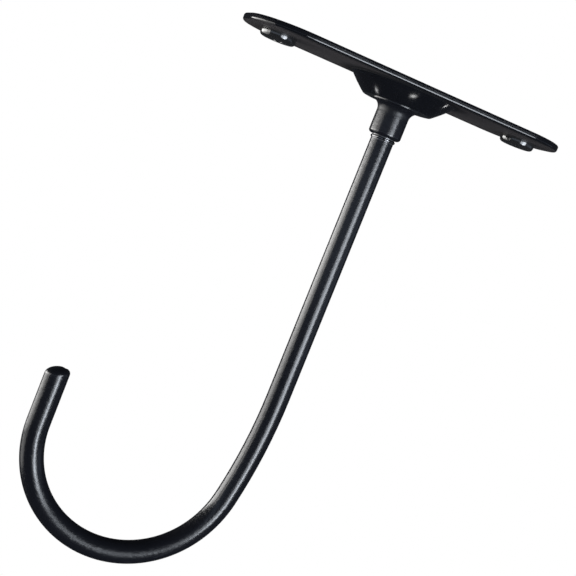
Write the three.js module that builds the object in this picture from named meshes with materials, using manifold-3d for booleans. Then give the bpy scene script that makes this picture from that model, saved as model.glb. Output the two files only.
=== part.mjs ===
// Swivel ceiling hook: a pressed plate with a hollow boss, a collar clinched into the boss,
// a headed rod bent to a J that turns in the collar, its thrust washer, and two pan-head screws.
// Millimetres, +Z up. The ceiling plane is z = 0 and the rod turns about the Z axis.
// The plate's long side lies along X and the hook opens towards -X.

import * as THREE from 'three';
import { mergeVertices } from 'three/addons/utils/BufferGeometryUtils.js';
import Module from 'manifold-3d';

const wasm = await Module();
wasm.setup();

// Mounting plate, a blank with its edges rolled by the die
const plateLength = 94;
const plateWidth = 32;
const plateThickness = 1.8;
const plateEndStraight = 4;
const plateEdgeRounding = 0.5;
const plateCornerRadius = (plateWidth - plateEndStraight) / 2;

// Boss pressed down out of the plate, hollow towards the ceiling and nearly as wide as the plate
const bossRootMargin = 1.05;
const bossConeRun = 5.3;
const bossDepth = 4.9;
const bossRootFillet = 0.9;
const bossFloorRounding = 0.5;
const bossHollowFillet = 0.5;
const bossHollowMouthRounding = 1.6;
const bossRootRadius = plateWidth / 2 - bossRootMargin;
const bossFloorRadius = bossRootRadius - bossConeRun;

// Collar, a turned steel sleeve clinched through the floor of the boss
const collarRadius = 4.5;
const collarLength = 9;
const collarRimRounding = 0.9;
const collarFootFillet = 2.5;
const collarFootLip = 0.15;
const collarSpigotRadius = 5;
const collarSpigotClearance = 0.1;
const clinchOverhang = 1.2;
const clinchThickness = 0.8;
const clinchRounding = 0.3;

// Rod, round bar with an upset head inside the boss and a stop bead under the collar
const rodRadius = 3.175;
const rodRunningClearance = 0.1;
const headRadius = 5;
const headThickness = 1.6;
const headRounding = 0.5;
const headRunningGap = 0.05;
const beadProud = 0.28;
const beadLength = 0.7;
const beadAxialPlay = 0.3;
const tipRounding = 1.1;
const tipCrown = 0.25;

// Bends of the rod, each a radius of the centreline and the angle that it turns through
const straightShankLength = 75.8;
const easyBendRadius = 150;
const easyBendAngle = THREE.MathUtils.degToRad(12);
const middleBendRadius = 30;
const middleBendAngle = THREE.MathUtils.degToRad(20);
const hookBendRadius = 28.2;
const hookBendAngle = Math.PI - easyBendAngle - middleBendAngle;
const straightTipLength = 14.7;
const rodRingAngle = THREE.MathUtils.degToRad(5);

// Thrust washer between the rod's head and the clinched end of the collar
const washerRadius = 5.9;
const washerThickness = 0.8;
const washerBoreClearance = 0.2;
const washerEdgeRounding = 0.15;

// Pan-head wood screws with a cross recess in a slightly domed face
const screwEndDistance = 9.5;
const screwSpacing = plateLength - 2 * screwEndDistance;
const screwHeadRadius = 4.9;
const screwHeadSide = 1.9;
const screwHeadCrown = 0.3;
const screwHeadRounding = 0.6;
const screwShankRadius = 2.1;
const screwHoleClearance = 0.4;
const screwLength = 32;
const screwPointLength = 5;
const screwPointRadius = 0.3;
const recessSpan = 4.6;
const recessFloorSpan = 1.8;
const recessWingWidth = 1.1;
const recessDepth = 1.7;

// How finely curves are cut into facets
const roundSegments = 48;
const rodSegments = 36;
const cornerSegments = 12;
const filletSteps = 5;
const crownSteps = 4;
const smallFilletSteps = 3;
const quarterTurn = Math.PI / 2;

// How far a cutting solid runs past the face that it cuts, and how near corners are merged
const cutOverrun = 1;
const mergeDistance = 1e-5;

// Heights that several pieces share
const ceilingHeight = 0;
const plateUnderside = ceilingHeight - plateThickness;
const bossUnderside = plateUnderside - bossDepth;
const bossHollowFloor = bossUnderside + plateThickness;
const collarRim = bossUnderside - collarLength;
const clinchTop = bossHollowFloor + clinchThickness;
const washerTop = clinchTop + washerThickness;
const headUnderside = washerTop + headRunningGap;
const rodTop = headUnderside + headThickness;
const collarBoreRadius = rodRadius + rodRunningClearance;
const spigotHoleRadius = collarSpigotRadius + collarSpigotClearance;
const screwFaceEdge = plateUnderside - screwHeadSide;
const screwFace = screwFaceEdge - screwHeadCrown;
const screwHoleRadius = screwShankRadius + screwHoleClearance;

// Turns a three.js geometry into a solid: equal corners merged, collapsed pole faces dropped
function solidOf(geometry) {
  const bare = geometry.clone();
  bare.deleteAttribute('normal');
  bare.deleteAttribute('uv');
  const merged = mergeVertices(bare, mergeDistance);
  const corners = merged.index.array;
  const kept = [];
  for (let i = 0; i < corners.length; i += 3) {
    const [a, b, c] = [corners[i], corners[i + 1], corners[i + 2]];
    if (a !== b && b !== c && c !== a) kept.push(a, b, c);
  }
  return new wasm.Manifold(new wasm.Mesh({
    numProp: 3,
    vertProperties: new Float32Array(merged.attributes.position.array),
    triVerts: new Uint32Array(kept),
  }));
}

// Turns a solid back into a three.js geometry
function geometryOf(solid) {
  const mesh = solid.getMesh();
  const geometry = new THREE.BufferGeometry();
  geometry.setAttribute('position', new THREE.BufferAttribute(new Float32Array(mesh.vertProperties), 3));
  geometry.setIndex(new THREE.BufferAttribute(new Uint32Array(mesh.triVerts), 1));
  geometry.computeVertexNormals();
  return geometry;
}

// A profile of corners [radius, height, rounding, steps], with each rounded corner as an arc
function roundedProfile(corners, closed = false) {
  const points = [];
  corners.forEach(([r, z, rounding = 0, steps = filletSteps], i) => {
    const corner = new THREE.Vector2(r, z);
    const isEnd = !closed && (i === 0 || i === corners.length - 1);
    if (rounding === 0 || isEnd) {
      points.push(corner);
      return;
    }
    const before = corners[(i + corners.length - 1) % corners.length];
    const after = corners[(i + 1) % corners.length];
    const inward = new THREE.Vector2(before[0], before[1]).sub(corner).normalize();
    const outward = new THREE.Vector2(after[0], after[1]).sub(corner).normalize();
    const halfAngle = Math.acos(THREE.MathUtils.clamp(inward.dot(outward), -1, 1)) / 2;
    const bisector = inward.clone().add(outward).normalize();
    const centre = corner.clone().addScaledVector(bisector, rounding / Math.sin(halfAngle));
    const tangentLength = rounding / Math.tan(halfAngle);
    const start = corner.clone().addScaledVector(inward, tangentLength).sub(centre);
    const end = corner.clone().addScaledVector(outward, tangentLength).sub(centre);
    const sweep = Math.atan2(start.cross(end), start.dot(end));
    for (let k = 0; k <= steps; k += 1) {
      const arm = start.clone().rotateAround(new THREE.Vector2(), (sweep * k) / steps);
      points.push(centre.clone().add(arm));
    }
  });
  if (closed) points.push(points[0].clone());
  return points;
}

// A profile revolved about the Z axis
function turned(points, segments = roundSegments) {
  return new THREE.LatheGeometry(points, segments).rotateX(quarterTurn);
}

// A round cutter from one height to another on an upright axis at x
function roundCutter(radius, from, to, x = 0) {
  const length = to - from;
  const cutter = new THREE.CylinderGeometry(radius, radius, length, roundSegments);
  return solidOf(cutter.rotateX(quarterTurn).translate(x, 0, from + length / 2));
}

// Outline of the plate seen from above
function plateOutline() {
  const x = plateLength / 2 - plateCornerRadius;
  const y = plateWidth / 2 - plateCornerRadius;
  const outline = new THREE.Shape();
  outline.absarc(x, y, plateCornerRadius, 0, quarterTurn);
  outline.absarc(-x, y, plateCornerRadius, quarterTurn, 2 * quarterTurn);
  outline.absarc(-x, -y, plateCornerRadius, 2 * quarterTurn, 3 * quarterTurn);
  outline.absarc(x, -y, plateCornerRadius, 3 * quarterTurn, 4 * quarterTurn);
  outline.closePath();
  return outline;
}

// The flat blank, with its upper and lower edges rolled
function plateBlank() {
  const blank = new THREE.ExtrudeGeometry(plateOutline(), {
    depth: plateThickness - 2 * plateEdgeRounding,
    bevelThickness: plateEdgeRounding,
    bevelSize: plateEdgeRounding,
    bevelOffset: -plateEdgeRounding,
    bevelSegments: smallFilletSteps,
    curveSegments: cornerSegments,
  });
  return solidOf(blank.translate(0, 0, plateUnderside + plateEdgeRounding));
}

// Outside of the boss: a floor, a cone and a fillet into the plate's underside
function bossBody() {
  const insidePlate = (plateUnderside + ceilingHeight) / 2;
  const coneTurn = Math.atan2(bossDepth, bossConeRun);
  const rootReach = bossRootRadius + bossRootFillet * Math.tan(coneTurn / 2);
  return solidOf(turned(roundedProfile([
    [0, bossUnderside],
    [bossFloorRadius, bossUnderside, bossFloorRounding],
    [bossRootRadius, plateUnderside, bossRootFillet],
    [rootReach, plateUnderside],
    [rootReach, insidePlate],
    [0, insidePlate],
  ])));
}

// Hollow of the boss: the outside cone moved inwards by the thickness of the sheet
function bossHollow() {
  const coneSlant = Math.hypot(bossConeRun, bossDepth);
  const radiusPerHeight = bossConeRun / bossDepth;
  const wallSetback = (plateThickness * coneSlant) / bossDepth;
  const radiusAt = (z) => bossFloorRadius + (z - bossUnderside) * radiusPerHeight - wallSetback;
  const mouthRadius = radiusAt(ceilingHeight);
  const mouthReach = mouthRadius + bossHollowMouthRounding;
  return solidOf(turned(roundedProfile([
    [0, bossHollowFloor],
    [radiusAt(bossHollowFloor), bossHollowFloor, bossHollowFillet, smallFilletSteps],
    [mouthRadius, ceilingHeight, bossHollowMouthRounding],
    [mouthReach, ceilingHeight],
    [mouthReach, ceilingHeight + cutOverrun],
    [0, ceilingHeight + cutOverrun],
  ])));
}

function mountingPlate() {
  const below = plateUnderside - cutOverrun;
  const above = ceilingHeight + cutOverrun;
  let plate = plateBlank().add(bossBody()).subtract(bossHollow());
  plate = plate.subtract(roundCutter(spigotHoleRadius, bossUnderside - cutOverrun, above));
  for (const side of [-1, 1]) {
    plate = plate.subtract(roundCutter(screwHoleRadius, below, above, (side * screwSpacing) / 2));
  }
  return geometryOf(plate);
}

// Sleeve with a filleted foot under the boss, a spigot through its floor and a clinched end inside
function swivelCollar() {
  const footRadius = collarRadius + collarFootFillet;
  const footHeight = bossUnderside - collarFootLip;
  const clinchRadius = collarSpigotRadius + clinchOverhang;
  return geometryOf(solidOf(turned(roundedProfile([
    [collarBoreRadius, collarRim],
    [collarRadius, collarRim, collarRimRounding],
    [collarRadius, footHeight, collarFootFillet],
    [footRadius, footHeight],
    [footRadius, bossUnderside],
    [collarSpigotRadius, bossUnderside],
    [collarSpigotRadius, bossHollowFloor],
    [clinchRadius, bossHollowFloor],
    [clinchRadius, clinchTop, clinchRounding, smallFilletSteps],
    [collarBoreRadius, clinchTop],
  ], true))));
}

function thrustWasher() {
  const bore = rodRadius + washerBoreClearance;
  return geometryOf(solidOf(turned(roundedProfile([
    [bore, clinchTop],
    [washerRadius, clinchTop],
    [washerRadius, washerTop, washerEdgeRounding, smallFilletSteps],
    [bore, washerTop, washerEdgeRounding, smallFilletSteps],
  ], true))));
}

// The rod's runs from its top end down, each with its length and bend radius (0 where straight)
const rodRuns = [
  { length: rodTop - collarRim + straightShankLength, radius: 0 },
  { length: easyBendRadius * easyBendAngle, radius: easyBendRadius },
  { length: middleBendRadius * middleBendAngle, radius: middleBendRadius },
  { length: hookBendRadius * hookBendAngle, radius: hookBendRadius },
  { length: straightTipLength, radius: 0 },
];
const rodLength = rodRuns.reduce((sum, run) => sum + run.length, 0);

// Place and turn of the centreline at a distance along it: the turn is 0 where the rod hangs down
function rodCentreline(distance) {
  let left = distance;
  let turn = 0;
  const place = new THREE.Vector3(0, 0, rodTop);
  for (const [i, run] of rodRuns.entries()) {
    const step = i === rodRuns.length - 1 ? left : Math.min(left, run.length);
    if (run.radius === 0) {
      place.add(new THREE.Vector3(-Math.sin(turn), 0, -Math.cos(turn)).multiplyScalar(step));
    } else {
      const after = turn + step / run.radius;
      place.x -= run.radius * (Math.cos(turn) - Math.cos(after));
      place.z -= run.radius * (Math.sin(after) - Math.sin(turn));
      turn = after;
    }
    left -= step;
    if (left <= 0) break;
  }
  return { place, turn };
}

// The straight rod as it is turned and headed, with a ring wherever the bends need one
function straightRodProfile() {
  const beadTop = rodTop - collarRim + beadAxialPlay;
  const beadRadius = rodRadius + beadProud;
  const points = roundedProfile([
    [0, 0],
    [headRadius, 0, headRounding, smallFilletSteps],
    [headRadius, headThickness],
    [rodRadius, headThickness],
    [rodRadius, beadTop],
    [beadRadius, beadTop, beadProud, smallFilletSteps],
    [beadRadius, beadTop + beadLength, beadProud, smallFilletSteps],
    [rodRadius, beadTop + beadLength],
  ]);
  let start = 0;
  for (const run of rodRuns) {
    if (run.radius > 0) {
      const rings = Math.ceil(run.length / run.radius / rodRingAngle);
      for (let k = 0; k < rings; k += 1) {
        points.push(new THREE.Vector2(rodRadius, start + (run.length * k) / rings));
      }
    }
    start += run.length;
  }
  const tip = roundedProfile([
    [rodRadius, rodLength - straightTipLength],
    [rodRadius, rodLength - tipCrown, tipRounding],
    [0, rodLength],
  ]);
  return points.concat(tip);
}

// The finished rod: every corner of the straight one carried to its place on the bent centreline
function hookRod() {
  const rod = new THREE.LatheGeometry(straightRodProfile(), rodSegments);
  const corners = rod.attributes.position;
  for (let i = 0; i < corners.count; i += 1) {
    const { place, turn } = rodCentreline(corners.getY(i));
    const across = corners.getX(i);
    corners.setXYZ(
      i,
      place.x + across * Math.cos(turn),
      corners.getZ(i),
      place.z - across * Math.sin(turn),
    );
  }
  return geometryOf(solidOf(rod));
}

// One wing pair of the cross recess, tapering from the face of the head to its floor
function recessBlade(angle) {
  const growth = (recessSpan - recessFloorSpan) / recessDepth;
  const outerSpan = recessSpan + growth * cutOverrun;
  const blade = new THREE.Shape([
    new THREE.Vector2(-outerSpan / 2, screwFace - cutOverrun),
    new THREE.Vector2(outerSpan / 2, screwFace - cutOverrun),
    new THREE.Vector2(recessFloorSpan / 2, screwFace + recessDepth),
    new THREE.Vector2(-recessFloorSpan / 2, screwFace + recessDepth),
  ]);
  const wing = new THREE.ExtrudeGeometry(blade, { depth: recessWingWidth, bevelEnabled: false });
  wing.translate(0, 0, -recessWingWidth / 2).rotateX(quarterTurn).rotateZ(angle);
  return solidOf(wing);
}

function mountingScrew() {
  const crown = [];
  for (let k = 0; k < crownSteps; k += 1) {
    const share = k / crownSteps;
    crown.push([screwHeadRadius * share, screwFace + screwHeadCrown * share ** 2]);
  }
  const pointEnd = plateUnderside + screwLength;
  const body = solidOf(turned(roundedProfile([
    ...crown,
    [screwHeadRadius, screwFaceEdge, screwHeadRounding],
    [screwHeadRadius, plateUnderside],
    [screwShankRadius, plateUnderside],
    [screwShankRadius, pointEnd - screwPointLength],
    [screwPointRadius, pointEnd],
    [0, pointEnd],
  ])));
  return geometryOf(body.subtract(recessBlade(0)).subtract(recessBlade(quarterTurn)));
}

// Finishes
const blackPaint = { color: 0x141518, roughness: 0.38, metalness: 0.1 };
const zincPlate = { color: 0xb4b6b8, roughness: 0.35, metalness: 1 };
const blackScrewFinish = { color: 0x1a1a1c, roughness: 0.32, metalness: 0.4 };

function piece(name, geometry, finish) {
  const mesh = new THREE.Mesh(geometry, new THREE.MeshStandardMaterial(finish));
  mesh.name = name;
  return mesh;
}

const ceilingHook = new THREE.Group();

const fixedPart = new THREE.Group();
fixedPart.add(piece('mounting_plate', mountingPlate(), blackPaint));
fixedPart.add(piece('swivel_collar', swivelCollar(), blackPaint));
fixedPart.add(piece('thrust_washer', thrustWasher(), zincPlate));
for (const [name, side] of [['mounting_screw_left', -1], ['mounting_screw_right', 1]]) {
  const screw = piece(name, mountingScrew(), blackScrewFinish);
  screw.position.x = (side * screwSpacing) / 2;
  fixedPart.add(screw);
}
ceilingHook.add(fixedPart);

const turningPart = new THREE.Group();
turningPart.add(piece('hook_rod', hookRod(), blackPaint));
ceilingHook.add(turningPart);

export default ceilingHook;
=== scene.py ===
"""Looks of the swivel ceiling hook: a pressed black plate with a hollow boss, a collar clinched
into the boss, a headed rod bent to a J, its thrust washer and two cross-recess pan-head screws.

Every shape is worked out in millimetres as a grid of points. joined_mesh turns it into metres.
Heights are measured from the ceiling plane, z = 0, and the rod turns about the Z axis.
"""

import bmesh
import bpy
import numpy as np
from mathutils import Matrix, Vector


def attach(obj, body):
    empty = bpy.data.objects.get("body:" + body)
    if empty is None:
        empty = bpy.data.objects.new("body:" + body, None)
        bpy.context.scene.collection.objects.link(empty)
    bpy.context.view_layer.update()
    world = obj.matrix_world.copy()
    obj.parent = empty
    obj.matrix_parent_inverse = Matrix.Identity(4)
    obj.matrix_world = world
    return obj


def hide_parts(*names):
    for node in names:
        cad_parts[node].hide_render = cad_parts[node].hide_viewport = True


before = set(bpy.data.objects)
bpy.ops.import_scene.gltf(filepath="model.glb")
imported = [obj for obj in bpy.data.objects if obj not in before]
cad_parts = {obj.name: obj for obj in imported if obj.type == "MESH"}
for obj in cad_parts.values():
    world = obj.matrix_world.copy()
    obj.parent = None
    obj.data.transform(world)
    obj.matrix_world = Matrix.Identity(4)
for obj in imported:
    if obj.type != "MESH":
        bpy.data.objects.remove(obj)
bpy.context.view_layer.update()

MM = 0.001
FULL_TURN = 2 * np.pi

# Mounting plate
PLATE_LENGTH = 94
PLATE_WIDTH = 32
PLATE_THICKNESS = 1.8
PLATE_END_STRAIGHT = 4
PLATE_EDGE_ROUNDING = 0.5
PLATE_ROLL_INSET = 0.5
PLATE_ROLL_HEIGHT = 0.65
PLATE_CORNER_RADIUS = (PLATE_WIDTH - PLATE_END_STRAIGHT) / 2

# Boss pressed down out of the plate
BOSS_ROOT_RADIUS = 14.95
BOSS_CONE_RUN = 5.3
BOSS_DEPTH = 4.9
BOSS_ROOT_FILLET = 0.9
BOSS_FLOOR_ROUNDING = 0.5
BOSS_HOLLOW_FILLET = 0.5
BOSS_MOUTH_ROUNDING = 1.6
BOSS_CONE_BULGE = 0.14
BOSS_FLOOR_RADIUS = BOSS_ROOT_RADIUS - BOSS_CONE_RUN
BOSS_SLANT = np.hypot(BOSS_CONE_RUN, BOSS_DEPTH)
BOSS_CONE_TURN = np.arctan2(BOSS_DEPTH, BOSS_CONE_RUN)
SPIGOT_HOLE_RADIUS = 5.1

# Collar and its clinched end
COLLAR_RADIUS = 4.5
COLLAR_LENGTH = 9
COLLAR_RIM_ROUNDING = 0.9
COLLAR_BORE_ROUNDING = 0.25
COLLAR_FOOT_FILLET = 2.5
COLLAR_FOOT_LIP = 0.15
COLLAR_BORE_RADIUS = 3.275
SPIGOT_RADIUS = 5
CLINCH_RADIUS = 6.2
CLINCH_THICKNESS = 0.8
CLINCH_ROUNDING = 0.3

# Thrust washer
WASHER_RADIUS = 5.9
WASHER_BORE_RADIUS = 3.375
WASHER_THICKNESS = 0.8
WASHER_ROUNDING = 0.15

# Rod, with its bends as (radius, angle)
ROD_RADIUS = 3.175
HEAD_RADIUS = 5
HEAD_THICKNESS = 1.6
HEAD_ROUNDING = 0.5
HEAD_GAP = 0.05
HEAD_NECK_FILLET = 0.1
BEAD_PROUD = 0.28
BEAD_LENGTH = 0.7
BEAD_PLAY = 0.3
SHANK_LENGTH = 75.8
EASY_BEND = (150, np.radians(12))
MIDDLE_BEND = (30, np.radians(20))
HOOK_BEND = (28.2, np.radians(148))
TIP_LENGTH = 14.7

# Sheared tip: its dome, how far the dome slants across the cut and leans along it, and the nick,
# whose place, reach and start are shares of the rod's radius
TIP_DOME = 2.1
TIP_DOME_POWER = 2.2
TIP_DOME_PROUD = 0.8
TIP_CUT_TURN = np.radians(21)
TIP_SLANT = 0.6
TIP_LEAN = 0.4
TIP_SLANT_START = TIP_LENGTH / 2
TIP_SLANT_RUN = TIP_LENGTH / 4
TIP_NICK = 0.5
TIP_NICK_PLACE = 0.54
TIP_NICK_REACH = 0.12
TIP_NICK_START = 0.6

# Screws
SCREW_PLACE = 37.5
LEFT_SCREW_TURN = np.radians(30)
RIGHT_SCREW_TURN = np.radians(70)
SCREW_HOLE_RADIUS = 2.5
SCREW_HEAD_RADIUS = 4.9
SCREW_HEAD_SIDE = 1.9
SCREW_HEAD_CROWN = 0.3
SCREW_HEAD_ROLL = 1.5
SCREW_SHANK_RADIUS = 2.1
SCREW_LENGTH = 32
SCREW_POINT_LENGTH = 5
RECESS_SPAN = 4.6
RECESS_FLOOR_SPAN = 1.8
RECESS_WING = 1.1
RECESS_FLOOR_WING = 0.8
RECESS_DEPTH = 1.7

# Heights that several pieces share
PLATE_UNDERSIDE = -PLATE_THICKNESS
BOSS_UNDERSIDE = PLATE_UNDERSIDE - BOSS_DEPTH
HOLLOW_FLOOR = BOSS_UNDERSIDE + PLATE_THICKNESS
COLLAR_RIM = BOSS_UNDERSIDE - COLLAR_LENGTH
CLINCH_TOP = HOLLOW_FLOOR + CLINCH_THICKNESS
WASHER_TOP = CLINCH_TOP + WASHER_THICKNESS
ROD_TOP = WASHER_TOP + HEAD_GAP + HEAD_THICKNESS
SCREW_FACE = PLATE_UNDERSIDE - SCREW_HEAD_SIDE - SCREW_HEAD_CROWN

# How finely the surfaces are drawn
ARC_STEP = np.radians(6)
BEND_STEP = np.radians(1.5)
SUPPORT = 0.1
LONG_SIDE = 4 * SUPPORT
ROUND_COLUMNS = 144
ROD_COLUMNS = 96
TIP_RINGS = 24
SHARP_ANGLE = np.radians(38)
MERGE_DISTANCE = 1e-7
SMALLEST_DIVISOR = 1e-7


# ---- Camera, fitted to the photograph ----

CAMERA_TARGET = Vector((-9.24, 0, -62.64)) * MM
CAMERA_DISTANCE = 342.88 * MM
CAMERA_AZIMUTH = np.radians(20.71)
CAMERA_DROP = np.radians(4.81)
CAMERA_ROLL = np.radians(21.93)
FOCAL_PIXELS = 1278.4
PICTURE_PIXELS = 576
SENSOR = 36
NEAR_CLIP = 10 * MM
FAR_CLIP = 10


def photograph_camera():
    """A camera that looks along the fitted direction, its picture turned by the fitted roll."""
    flat = Vector((np.sin(CAMERA_AZIMUTH), np.cos(CAMERA_AZIMUTH), 0))
    ahead = flat * np.cos(CAMERA_DROP) - Vector((0, 0, np.sin(CAMERA_DROP)))
    level = Vector((flat.y, -flat.x, 0))
    upright = level.cross(ahead)
    right = level * np.cos(CAMERA_ROLL) + upright * np.sin(CAMERA_ROLL)
    top = upright * np.cos(CAMERA_ROLL) - level * np.sin(CAMERA_ROLL)
    data = bpy.data.cameras.new("photograph_camera")
    data.sensor_width = SENSOR
    data.lens = FOCAL_PIXELS / PICTURE_PIXELS * SENSOR
    data.clip_start = NEAR_CLIP
    data.clip_end = FAR_CLIP
    camera = bpy.data.objects.new("photograph_camera", data)
    bpy.context.collection.objects.link(camera)
    place = CAMERA_TARGET - ahead * CAMERA_DISTANCE
    turn = Matrix((right, top, -ahead)).transposed().to_4x4()
    camera.matrix_world = Matrix.Translation(place) @ turn
    bpy.context.scene.camera = camera


# ---- Surfaces ----

def unit(vector):
    """The vector divided by its length."""
    return vector / np.linalg.norm(vector)


def smooth_step(value):
    """0 below 0, 1 above 1, and the smooth S of 3t^2 - 2t^3 between."""
    t = np.clip(value, 0, 1)
    return t * t * (3 - 2 * t)


def rounded_profile(corners, closed=False):
    """Points along a line of corners (radius, height, rounding). A corner with a rounding becomes
    an arc of that radius, tangent to both of its sides."""
    spots = [np.array(corner[:2], float) for corner in corners]
    points = []
    for i, corner in enumerate(corners):
        spot = spots[i]
        if len(corner) < 3:
            points.append(spot)
            continue
        rounding = corner[2]
        inward = unit(spots[i - 1] - spot)
        outward = unit(spots[(i + 1) % len(spots)] - spot)
        half = np.arccos(inward @ outward) / 2
        centre = spot + unit(inward + outward) * rounding / np.sin(half)
        x, z = spot + inward * rounding / np.tan(half) - centre
        sweep = (np.pi - 2 * half) * np.sign(outward[0] * inward[1] - outward[1] * inward[0])
        turn = np.linspace(0, sweep, 1 + int(np.ceil(abs(sweep) / ARC_STEP)))
        across = x * np.cos(turn) - z * np.sin(turn)
        up = x * np.sin(turn) + z * np.cos(turn)
        points.extend(centre + np.stack([across, up], 1))
    if closed:
        points.append(points[0])
    return supported(np.array(points))


def supported(points):
    """The same line with a point SUPPORT away from both ends of each side longer than LONG_SIDE, so
    that flats stay flat in the shading beside a rounding."""
    parts = [points[:1]]
    for start, end in zip(points[:-1], points[1:]):
        length = np.linalg.norm(end - start)
        if length > LONG_SIDE:
            step = (end - start) * SUPPORT / length
            parts.append(np.array([start + step, end - step]))
        parts.append(end[None])
    return np.concatenate(parts)


def even_turns(columns):
    """Angles that divide a full turn evenly, from 0."""
    return np.linspace(0, FULL_TURN, columns, endpoint=False)


def revolved(profile, turns, x=0):
    """Row i, column j is the profile's point i turned by angle j about the upright axis at x."""
    radius, height = profile[:, :1], profile[:, 1:]
    across = radius * np.cos(turns) + x
    return np.stack([across, radius * np.sin(turns), height + 0 * across], -1)


def ruled(inner, outer, rows):
    """Straight lines from each point of one loop to the same point of the other, cut into rows."""
    share = np.linspace(0, 1, rows)[:, None, None]
    return inner * (1 - share) + outer * share


def grid_quads(rows, columns):
    """The four corner numbers of each cell of a grid, whose last column joins its first."""
    row, column = np.meshgrid(np.arange(rows - 1), np.arange(columns), indexing="ij")
    beside = (column + 1) % columns
    cells = [row * columns + column, row * columns + beside,
             (row + 1) * columns + beside, (row + 1) * columns + column]
    return np.stack(cells, -1).reshape(-1, 4)


def joined_mesh(name, grids):
    """Grids of points in millimetres, all closed round their columns, as one mesh in metres whose
    doubled points are merged and whose faces point outwards."""
    points = np.concatenate([grid.reshape(-1, 3) for grid in grids]) * MM
    quads, first = [], 0
    for grid in grids:
        quads.append(grid_quads(*grid.shape[:2]) + first)
        first += grid.shape[0] * grid.shape[1]
    quads = np.concatenate(quads)
    mesh = bpy.data.meshes.new(name)
    mesh.vertices.add(len(points))
    mesh.vertices.foreach_set("co", points.ravel())
    mesh.loops.add(quads.size)
    mesh.loops.foreach_set("vertex_index", quads.ravel().astype(np.int32))
    mesh.polygons.add(len(quads))
    mesh.polygons.foreach_set("loop_start", np.arange(0, quads.size, 4, dtype=np.int32))
    mesh.update(calc_edges=True)
    shell = bmesh.new()
    shell.from_mesh(mesh)
    bmesh.ops.remove_doubles(shell, verts=shell.verts, dist=MERGE_DISTANCE)
    bmesh.ops.dissolve_degenerate(shell, edges=shell.edges, dist=MERGE_DISTANCE)
    bmesh.ops.recalc_face_normals(shell, faces=shell.faces)
    shell.to_mesh(mesh)
    shell.free()
    mesh.shade_smooth()
    mesh.set_sharp_from_angle(angle=SHARP_ANGLE)
    return mesh


def put_piece(name, grids, finish, body):
    """A finished piece that stands for the CAD node of the same name and moves with its body."""
    mesh = joined_mesh(name, grids)
    mesh.materials.append(finish)
    piece = bpy.data.objects.new(name + "_surface", mesh)
    bpy.context.collection.objects.link(piece)
    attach(piece, body)
    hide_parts(name)


# ---- Mounting plate ----

# The flat round the boss ends in a rectangle that reaches the rolled edge and the lines at
# x = +-BOSS_PAD. Its sides are cut at even angles about the Z axis.
BOSS_PAD = 22
FLAT_INSET = PLATE_ROLL_INSET + SUPPORT
PAD_SIDE = PLATE_WIDTH / 2 - FLAT_INSET
PAD_ANGLE = np.arctan2(PAD_SIDE, BOSS_PAD)
PAD_END_CUTS = 48
PAD_SIDE_CUTS = 72
CORNER_CUTS = 30
WING_SIDE_CUTS = 8
END_CUTS = 3
FLAT_ROWS = 4
ROLL_CUTS = 20
CONE_CUTS = 20
HOLE_ROUNDING = 0.15


def pad_turns():
    """Angles about the Z axis at which the flat round the boss is cut, a full turn of them."""
    end = np.linspace(-PAD_ANGLE, PAD_ANGLE, PAD_END_CUTS, endpoint=False)
    side = np.linspace(PAD_ANGLE, np.pi - PAD_ANGLE, PAD_SIDE_CUTS, endpoint=False)
    return np.concatenate([end, side, end + np.pi, side + np.pi])


def pad_edge(height):
    """The rectangle round the boss: the point where the ray at each angle leaves it."""
    turns = pad_turns()
    reach = np.minimum(BOSS_PAD / np.maximum(np.abs(np.cos(turns)), SMALLEST_DIVISOR),
                       PAD_SIDE / np.maximum(np.abs(np.sin(turns)), SMALLEST_DIVISOR))
    return np.stack([reach * np.cos(turns), reach * np.sin(turns), height + 0 * turns], 1)


def corner_arms(first_turn):
    """Directions from a corner's centre through a quarter turn."""
    turns = np.linspace(first_turn, first_turn + np.pi / 2, CORNER_CUTS + 1)
    return np.stack([np.cos(turns), np.sin(turns)], 1)


def wing_rim():
    """Centres and directions of the plate's outline round its +X end, from beside the boss pad's
    corner on the -Y side to beside the one on the +Y side: a point is centre + radius * direction.
    """
    x = PLATE_LENGTH / 2 - PLATE_CORNER_RADIUS
    y = PLATE_WIDTH / 2 - PLATE_CORNER_RADIUS
    along = np.linspace(BOSS_PAD, x, WING_SIDE_CUTS, endpoint=False)
    across = np.linspace(-y, y, END_CUTS + 1)[1:-1]
    arms = [corner_arms(-np.pi / 2), corner_arms(0)]
    centres = np.concatenate([
        np.stack([along, np.full_like(along, -y)], 1), np.tile([x, -y], (len(arms[0]), 1)),
        np.stack([np.full_like(across, x), across], 1), np.tile([x, y], (len(arms[1]), 1)),
        np.stack([along[::-1], np.full_like(along, y)], 1)])
    directions = np.concatenate([
        np.tile([0, -1], (len(along), 1)), arms[0], np.tile([1, 0], (len(across), 1)), arms[1],
        np.tile([0, 1], (len(along), 1))])
    return centres, directions


def plate_rim():
    """Centres and directions of the whole outline, with the pad's own cuts along the long sides."""
    y = PLATE_WIDTH / 2 - PLATE_CORNER_RADIUS
    wing_centres, wing_directions = wing_rim()
    side = pad_edge(0)[PAD_END_CUTS + 1:PAD_END_CUTS + PAD_SIDE_CUTS, 0]
    side_centres = np.stack([side, np.full_like(side, y)], 1)
    side_directions = np.tile([0, 1], (len(side), 1))
    centres = np.concatenate([wing_centres, side_centres])
    directions = np.concatenate([wing_directions, side_directions])
    return np.concatenate([centres, -centres]), np.concatenate([directions, -directions])


def rim_strip(profile):
    """The profile (inset, height) carried along the whole outline: inset is measured inwards."""
    centres, directions = plate_rim()
    inset, height = profile[:, :1, None], profile[:, 1:, None]
    flat = centres + (PLATE_CORNER_RADIUS - inset) * directions
    return np.concatenate([flat, height + 0 * flat[..., :1]], -1)


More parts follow.
